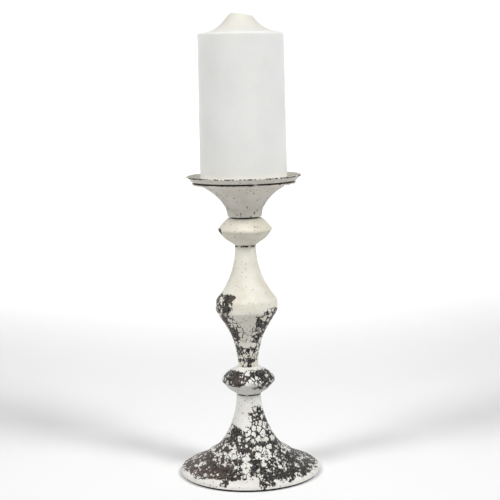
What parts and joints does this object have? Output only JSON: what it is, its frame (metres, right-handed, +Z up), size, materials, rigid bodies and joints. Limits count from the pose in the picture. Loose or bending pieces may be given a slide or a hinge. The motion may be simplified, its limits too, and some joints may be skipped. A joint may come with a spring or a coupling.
{
  "type": "pillar candlestick",
  "caption": "Turned-profile metal pillar candlestick with knops, a trumpet base, a drip pan and a lift-off pillar candle, in distressed white paint.",
  "frame": {"origin": "on the stick's axis, on the surface it stands on (underside of the felt pad)", "axes": "+Z up along the stick; the front, as pictured, faces -Y"},
  "size_m": [0.124, 0.124, 0.4079],
  "materials": {
    "distressed_paint": "chalky off-white paint worn through to dark primer",
    "dark_primer": "satin dark primer",
    "bare_steel": "mill",
    "felt": "matte felt",
    "wax": "satin wax, slightly translucent",
    "wick": "braided cotton"
  },
  "bodies": {
    "holder": {"felt_pad": "felt", "base_plate": "bare_steel", "base_shell": "distressed_paint", "base_collar": "dark_primer", "lower_knop_lower_shell": "distressed_paint", "lower_knop_upper_shell": "distressed_paint", "stem_lower_shell": "distressed_paint", "stem_upper_shell": "distressed_paint", "upper_knop_lower_shell": "distressed_paint", "upper_knop_upper_shell": "distressed_paint", "cup_collar": "dark_primer", "cup_shell": "distressed_paint", "drip_pan": "distressed_paint", "pan_tack_welds": "distressed_paint", "pricket": "bare_steel", "tie_rod": "bare_steel", "rod_washers": "bare_steel", "rod_nuts": "bare_steel"},
    "candle": {"candle_wax": "wax", "candle_wick": "wick"}
  },
  "joints": [
    {"name": "candle_lift", "type": "slide", "parent": "holder", "child": "candle", "axis": [0, 0, 1], "range_m": [0, 0.06]}
  ]
}
